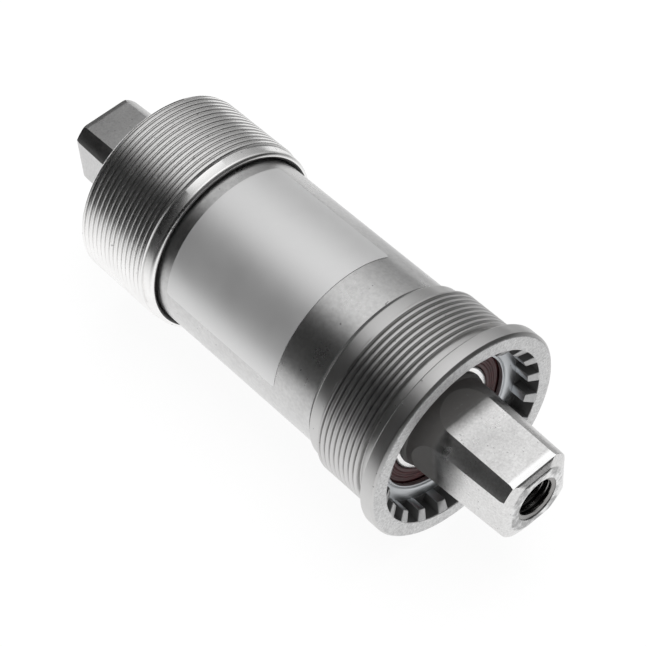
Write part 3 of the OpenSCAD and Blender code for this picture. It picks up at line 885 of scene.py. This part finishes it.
def forged_steel():
    """Ground and plated flats with milling marks along them and scattered pits, darker towards
    the left end. The neck, where the cutter runs out, is painted near-black and dull, painted
    shade with a brownish oxide tint, and the bolt holes are painted darker as painted shade. The
    upper edge of the right tip is painted near-white as a painted highlight, and both end faces
    are battered."""
    f = Finish("spindle_ground_steel")
    xyz = f.add("ShaderNodeSeparateXYZ", {0: f.place})
    marks = f.noise(f.stretched((2600, 60, 2600)), 1.0, 2.0)
    cloud = f.noise(f.place, 260.0, 4.0)
    grain = f.noise(f.place, 2600.0, 4.0, 0.65)
    from_middle = f.calc("ABSOLUTE", f.calc("ADD", xyz.outputs[1], MIDDLE_SHIFT))
    ragged = f.calc("ADD", from_middle, f.span(cloud, 0.3, 0.7, -0.0004, 0.0004))
    # Painted shade: the neck under the flange is painted near-black with a brownish oxide tint,
    # and made dull.
    neck = f.span(ragged, *NECK_SPAN, 1.0, 0.0, True)
    deep = f.calc("POWER", neck, 5.0)
    pit = f.span(f.noise(f.stretched((1, 0.6, 1)), 3000.0, 0.0), 0.79, 0.82, 0.0, 1.0)
    facing = f.add("ShaderNodeTexCoord").outputs["Normal"]
    facing_up = f.add("ShaderNodeSeparateXYZ", {0: facing}).outputs[2]
    by_socket = f.span(from_middle, *SOCKET_SPAN, 0.75, 0.0, True)
    by_socket = f.calc("MULTIPLY", by_socket, f.span(facing_up, 0.985, 0.993, 0.0, 1.0))
    at_tip = f.span(xyz.outputs[1], *RIGHT_TIP_SPAN, 0.0, 1.0)
    # Painted highlight: the up-facing edge of the right tip is painted near-white and made
    # smoother.
    tip = f.calc("MULTIPLY", f.span(facing_up, 0.94, 0.96, 0.0, 1.0), at_tip)
    across = f.calc("MULTIPLY", xyz.outputs[0], xyz.outputs[0])
    up = f.calc("MULTIPLY", xyz.outputs[2], xyz.outputs[2])
    radius = f.calc("SQRT", f.calc("ADD", across, up))
    # Painted shade: the walls of the bolt holes are painted darker.
    in_hole = f.span(radius, *HOLE_RADII, 1.0, 0.0)
    end_face = f.span(from_middle, *END_FACE_SPAN, 0.0, 1.0)
    dents = f.noise(f.place, 620.0, 3.0, 0.6)
    battered = f.tint(f.span(dents, 0.4, 0.6, 0.0, 1.0), *BATTERED_TONES)
    base = f.tint(f.span(grain, 0.3, 0.7, 0.0, 1.0), *GROUND_TONES)
    # Darker towards the left end, over the 30 mm past the middle.
    base = f.tint(f.span(xyz.outputs[1], 0.0, 0.03, 0.0, 0.25), base, LEFT_TONE)
    base = f.tint(neck, base, NECK_SHADE_AND_OXIDE)
    base = f.tint(in_hole, base, HOLE_SHADE)
    base = f.tint(f.calc("MULTIPLY", pit, 0.45), base, PIT_TONE)
    base = f.tint(tip, base, TIP_HIGHLIGHT)
    base = f.tint(end_face, base, battered)
    rough = f.calc("ADD", f.span(cloud, 0.3, 0.7, 0.26, 0.36), f.calc("MULTIPLY", deep, 0.2))
    rough = f.calc("SUBTRACT", rough, f.calc("MULTIPLY", tip, 0.16))
    dull = f.calc("MAXIMUM", f.calc("MULTIPLY", deep, 0.85), by_socket)
    metal = f.calc("SUBTRACT", 1.0, dull)
    relief = f.bump(marks, 0.000014, 0.3)
    relief = f.bump(grain, 0.00003, 0.3, relief)
    relief = f.bump(pit, 0.00005, -0.7, relief)
    relief = f.bump(f.calc("MULTIPLY", dents, end_face), 0.0002, 0.6, relief)
    return f.set(Base_Color=base, Metallic=metal, Roughness=rough, Normal=relief)


right_end, left_end = SPINDLE_ENDS
spindle_form = joined(spindle_skin(), bolt_hole(right_end, 1), bolt_hole(left_end, -1))
bmesh.ops.remove_doubles(spindle_form, verts=spindle_form.verts, dist=2e-6)
for end in SPINDLE_ENDS:
    close_face(spindle_form, end, hole_rim=4.5)
open_edges = [edge for edge in spindle_form.edges if edge.is_boundary]
bmesh.ops.holes_fill(spindle_form, edges=open_edges, sides=400)
piece(
    "spindle_axle", spindle_form, forged_steel(), "spindle", ["spindle"],
    crease=18.0,
)


# Non-drive cup: turned steel with a right-hand thread and no flange, brighter plated than the
# rest. It slides over the left end of the tube and clamps the cartridge in the frame.
LEFT_FACE = 35.4
LEFT_FLOOR = 3.1
LEFT_RIM_R = 16.85
LEFT_BAND_R = 17.1
LEFT_BORE = 15.8
LEFT_THREAD = (19.55, LEFT_FACE)
LEFT_CUP_STEEL = plated_cup(
    "left_cup_plated_steel", tone=0.98, shine=0.22, face_station=LEFT_FACE, inward=-1,
    cut=(0.4, 15.75), root_shade_share=0.9,
)
left_outline = [
    (LEFT_RIM_R, LEFT_FACE),
    *mouth(LEFT_FACE, -1, LEFT_FLOOR),
    (LEFT_BORE, 31.0), (LEFT_BORE, 17.95), (16.2, 17.4), (16.45, 17.36), (16.75, 17.45),
    (16.98, 17.65), (LEFT_BAND_R, 17.95), (LEFT_BAND_R, LEFT_THREAD[0]),
]
left_thread = thread(
    THREAD_CREST, THREAD_ROOT, hand=1, crest_at=20.23, ends=LEFT_THREAD,
    end_radii=(LEFT_BAND_R, LEFT_RIM_R), run_outs=(0.35, 0.5),
)
piece(
    "left_cup",
    joined(
        turned(eased(left_outline, 0.16, closed=False), closed=False),
        left_thread,
        socket_teeth(LEFT_FACE, -1, LEFT_FLOOR),
    ),
    LEFT_CUP_STEEL,
    "non_drive_cup",
    ["non_drive_cup"],
)


# Label: a self-adhesive metallised foil, laid round part of the tube. It is blank, with a
# soft satin sheen, and its corners are slightly rounded.
LABEL_ANGLES = (-85.0, 31.0)
LABEL_STATIONS = (-10.9, 14.9)
LABEL_SKINS = (TUBE_R + 0.01, TUBE_R + 0.09)
LABEL_CORNER = 0.6
LABEL_GRID = (150, 40)
FOIL_TONES = (grey(0.78), grey(0.83))


def foil_patch():
    """A thin curved plate: an inner and an outer skin and the edge between them."""
    form = bmesh.new()
    columns, rows = LABEL_GRID
    wide = math.radians(LABEL_ANGLES[1] - LABEL_ANGLES[0]) * TUBE_R
    tall = LABEL_STATIONS[1] - LABEL_STATIONS[0]
    skins = []
    for radius in LABEL_SKINS:
        skin = []
        for i in range(columns + 1):
            line = []
            u = wide * i / columns
            inset = max(0.0, LABEL_CORNER - min(u, wide - u))
            trim = LABEL_CORNER - math.sqrt(max(0.0, LABEL_CORNER**2 - inset**2))
            for j in range(rows + 1):
                v = trim + (tall - 2 * trim) * j / rows
                angle = math.radians(LABEL_ANGLES[0]) + u / TUBE_R
                station = LABEL_STATIONS[0] + v
                place = (radius * math.sin(angle), station, radius * math.cos(angle))
                line.append(form.verts.new(Vector(place) * MM))
            skin.append(line)
        skins.append(skin)
    for skin in skins:
        for i in range(columns):
            for j in range(rows):
                form.faces.new((skin[i][j], skin[i + 1][j], skin[i + 1][j + 1], skin[i][j + 1]))
    edge = [(i, 0) for i in range(columns)] + [(columns, j) for j in range(rows)]
    edge += [(i, rows) for i in range(columns, 0, -1)] + [(0, j) for j in range(rows, 0, -1)]
    for (i, j), (k, n) in zip(edge, edge[1:] + edge[:1]):
        form.faces.new((skins[0][i][j], skins[0][k][n], skins[1][k][n], skins[1][i][j]))
    return form


def silver_foil():
    """Satin metallised film: soft sheen, a very faint weave of coating and tiny blisters."""
    f = Finish("label_silver_foil")
    cloud = f.noise(f.place, 120.0, 3.0)
    film = f.noise(f.stretched((1, 3, 1)), 2400.0, 2.0)
    swell = f.noise(f.place, 330.0, 2.0)
    base = f.tint(f.span(cloud, 0.3, 0.7, 0.0, 1.0), *FOIL_TONES)
    rough = f.span(cloud, 0.3, 0.7, 0.42, 0.5)
    relief = f.bump(swell, 0.00003, 0.25)
    relief = f.bump(film, 0.000006, 0.3, relief)
    return f.set(Base_Color=base, Metallic=0.84, Roughness=rough, Normal=relief)


piece("label", foil_patch(), silver_foil(), "cartridge", ["foil_label"])


# Studio: a plain pale table under the part, two black cards beside it and a dark room with one
# wide lamp overhead. Only reflections see the room and the cards, so the metal shows a soft
# ceiling and a dark side.
TABLE_Z = -0.01935
TABLE_R = 6.0
ROOM_R = 0.6
ROOM_LENGTH = 4.0
# Brightness of the room by direction round the spindle axis, in degrees.
ROOM_LIGHT = [
    (-180, 1.0), (-112, 1.0), (-100, 0.6), (-90, 0.05), (-44, 0.03), (-30, 0.085), (-12, 0.8),
    (0, 0.9), (26, 0.84), (46, 0.58), (66, 0.38), (90, 0.21), (104, 0.4), (180, 1.0),
]
CARD_Z = -0.0185
CARD_MIDDLE_Y = 0.2


def sheet(name, form, material):
    """A flat or hollow thing of the studio, which isn't part of the object."""
    mesh = bpy.data.meshes.new(name)
    form.to_mesh(mesh)
    form.free()
    mesh.materials.append(material)
    obj = bpy.data.objects.new(name, mesh)
    bpy.context.scene.collection.objects.link(obj)
    return obj


def table_white():
    """A pale matt table: white to the eye and to reflections, but it keeps a faint shadow."""
    f = Finish("table_white")
    tree = f.tree
    grain = f.noise(f.place, 900.0, 2.0)
    base = f.tint(f.span(grain, 0.3, 0.7, 0.0, 1.0), grey(0.86), grey(0.9))
    f.set(Base_Color=base, Roughness=0.9, Specular_IOR_Level=0.0)
    rays = f.add("ShaderNodeLightPath")
    strength = f.span(rays.outputs["Is Glossy Ray"], 0, 1, 1.0, 0.96)
    glow = f.add("ShaderNodeEmission", {"Strength": strength})
    seen = f.calc("ADD", rays.outputs["Is Camera Ray"], rays.outputs["Is Glossy Ray"])
    seen = f.calc("MINIMUM", f.calc("ADD", seen, rays.outputs["Is Transmission Ray"]), 1.0)
    mixed = f.add("ShaderNodeMixShader", {0: f.calc("MULTIPLY", seen, 0.92)})
    tree.links.new(f.shader.outputs[0], mixed.inputs[1])
    tree.links.new(glow.outputs[0], mixed.inputs[2])
    tree.links.new(mixed.outputs[0], tree.nodes["Material Output"].inputs["Surface"])
    return f.material


def room_light():
    """Brightness of the room by direction round the spindle axis, and along it."""
    f = Finish("studio_room")
    tree = f.tree
    xyz = f.add("ShaderNodeSeparateXYZ", {0: f.place})
    turn = f.calc("ARCTAN2", xyz.outputs[0], xyz.outputs[2])
    share = f.span(turn, -math.pi, math.pi, 0.0, 1.0)
    ramp = f.add("ShaderNodeValToRGB", {0: share})
    band = ramp.color_ramp
    band.elements[0].position = 0.0
    band.elements[1].position = 1.0
    for angle, level in ROOM_LIGHT[1:-1]:
        band.elements.new((angle + 180) / 360).color = (level, level, level, 1)
    for end, (_, level) in ((0, ROOM_LIGHT[0]), (-1, ROOM_LIGHT[-1])):
        band.elements[end].color = (level, level, level, 1)
    ahead = f.span(xyz.outputs[1], 0.45, 0.52, 1.0, 0.17, True)
    middle = f.span(xyz.outputs[1], 0.2, 0.31, 1.25, 1.0, True)
    behind = f.span(xyz.outputs[1], -0.12, -0.02, 0.1, 1.0, True)
    low = f.span(xyz.outputs[2], -0.02, 0.0, 1.0, 0.0)
    lamp = f.calc("MULTIPLY", f.calc("MULTIPLY", ahead, behind), middle)
    along = f.calc("MAXIMUM", lamp, low)
    glow = f.add("ShaderNodeEmission", {"Color": ramp.outputs[0], "Strength": along})
    tree.links.new(glow.outputs[0], tree.nodes["Material Output"].inputs["Surface"])
    return f.material


table = bmesh.new()
bmesh.ops.create_circle(table, cap_ends=True, radius=TABLE_R, segments=96)
bmesh.ops.translate(table, verts=table.verts, vec=(0, 0, TABLE_Z))
sheet("table", table, table_white())

room = bmesh.new()
bmesh.ops.create_cone(
    room, cap_ends=True, segments=96, radius1=ROOM_R, radius2=ROOM_R, depth=ROOM_LENGTH,
    matrix=Matrix.Rotation(math.radians(90), 4, "X"),
)
room_shell = sheet("room", room, room_light())


def card_black(name, near, far, cover, behind):
    """Black card whose near edge is feathered, so that it meets the white table softly. It
    covers up to the share in cover, times the share in behind past the part's middle."""
    f = Finish(name)
    xyz = f.add("ShaderNodeSeparateXYZ", {0: f.place})
    fibre = f.noise(f.place, 800.0, 2.0)
    away = f.span(f.calc("ABSOLUTE", xyz.outputs[0]), near, far, 0.0, cover)
    away = f.calc("MULTIPLY", away, f.span(xyz.outputs[1], 0.025, 0.09, 1.0, behind, True))
    f.set(Base_Color=f.tint(fibre, grey(0.01), grey(0.02)), Roughness=0.9)
    tree = f.tree
    clear = f.add("ShaderNodeBsdfTransparent")
    mixed = f.add("ShaderNodeMixShader", {0: away})
    tree.links.new(clear.outputs[0], mixed.inputs[1])
    tree.links.new(f.shader.outputs[0], mixed.inputs[2])
    tree.links.new(mixed.outputs[0], tree.nodes["Material Output"].inputs["Surface"])
    return f.material


def only_reflections_see(obj):
    """Hides a thing of the studio from the eye, and from light that isn't a reflection."""
    obj.visible_camera = False
    obj.visible_diffuse = False
    obj.visible_transmission = False
    obj.visible_volume_scatter = False
    obj.visible_shadow = False


for name, middle, near, far, cover, behind in (
    ("left_card", -0.33, 0.032, 0.16, 1.0, 1.0),
    ("right_card", 0.33, 0.035, 0.12, 0.72, 0.1),
):
    card = bmesh.new()
    bmesh.ops.create_grid(card, x_segments=1, y_segments=1, size=1.0)
    bmesh.ops.scale(card, verts=card.verts, vec=(0.3, 1.0, 1.0))
    bmesh.ops.translate(card, verts=card.verts, vec=(middle, CARD_MIDDLE_Y, CARD_Z))
    black = card_black(name + "_black", near, far, cover, behind)
    only_reflections_see(sheet(name, card, black))
only_reflections_see(room_shell)


def softbox(name, place, size, watts):
    """A soft lamp that points at the part."""
    data = bpy.data.lights.new(name, "AREA")
    data.shape = "RECTANGLE"
    data.size, data.size_y = size
    data.energy = watts
    lamp = bpy.data.objects.new(name, data)
    bpy.context.scene.collection.objects.link(lamp)
    lamp.location = place
    lamp.rotation_euler = (-Vector(place)).to_track_quat("-Z", "Y").to_euler()
    lamp.visible_glossy = False


softbox("top_softbox", place=(0.15, 0.05, 0.75), size=(0.7, 0.9), watts=7.0)
softbox("side_softbox", place=(-0.7, -0.35, 0.45), size=(0.5, 0.5), watts=2.0)

# The air round the studio is white to the eye and in reflections, and dimmer as a light.
AIR_LIGHT = 0.55
world = bpy.data.worlds.new("studio_air")
bpy.context.scene.world = world
world.use_nodes = True
air = world.node_tree
backdrop = air.nodes["Background"]
rays = air.nodes.new("ShaderNodeLightPath")
first = air.nodes.new("ShaderNodeMath")
first.operation = "ADD"
air.links.new(rays.outputs["Is Camera Ray"], first.inputs[0])
air.links.new(rays.outputs["Is Glossy Ray"], first.inputs[1])
both = air.nodes.new("ShaderNodeMath")
both.operation = "ADD"
both.use_clamp = True
air.links.new(first.outputs[0], both.inputs[0])
air.links.new(rays.outputs["Is Transmission Ray"], both.inputs[1])
level = air.nodes.new("ShaderNodeMapRange")
level.inputs[3].default_value = AIR_LIGHT
level.inputs[4].default_value = 1.0
air.links.new(both.outputs[0], level.inputs[0])
air.links.new(level.outputs[0], backdrop.inputs["Strength"])
backdrop.inputs["Color"].default_value = (1, 1, 1, 1)


# Camera: a long lens that looks down at the drive side from the left of the part, held level
# with the horizon.
FOCAL_LENGTH = 123.17
CAMERA_PLACE = (-153.45, -175.78, 264.79)
CAMERA_RIGHT = (0.7442, -0.6679, 0.0)
CAMERA_FORWARD = (0.4367, 0.4866, -0.7567)
lens = bpy.data.cameras.new("camera")
lens.lens = FOCAL_LENGTH
lens.sensor_width = 36.0
lens.clip_start = 0.01
camera = bpy.data.objects.new("camera", lens)
bpy.context.scene.collection.objects.link(camera)
right = Vector(CAMERA_RIGHT).normalized()
forward = Vector(CAMERA_FORWARD).normalized()
up = right.cross(forward)
turn = Matrix((right, up, -forward)).transposed()
camera.matrix_world = Matrix.Translation(Vector(CAMERA_PLACE) * MM) @ turn.to_4x4()
bpy.context.scene.camera = camera
bpy.context.scene.view_settings.view_transform = "Standard"
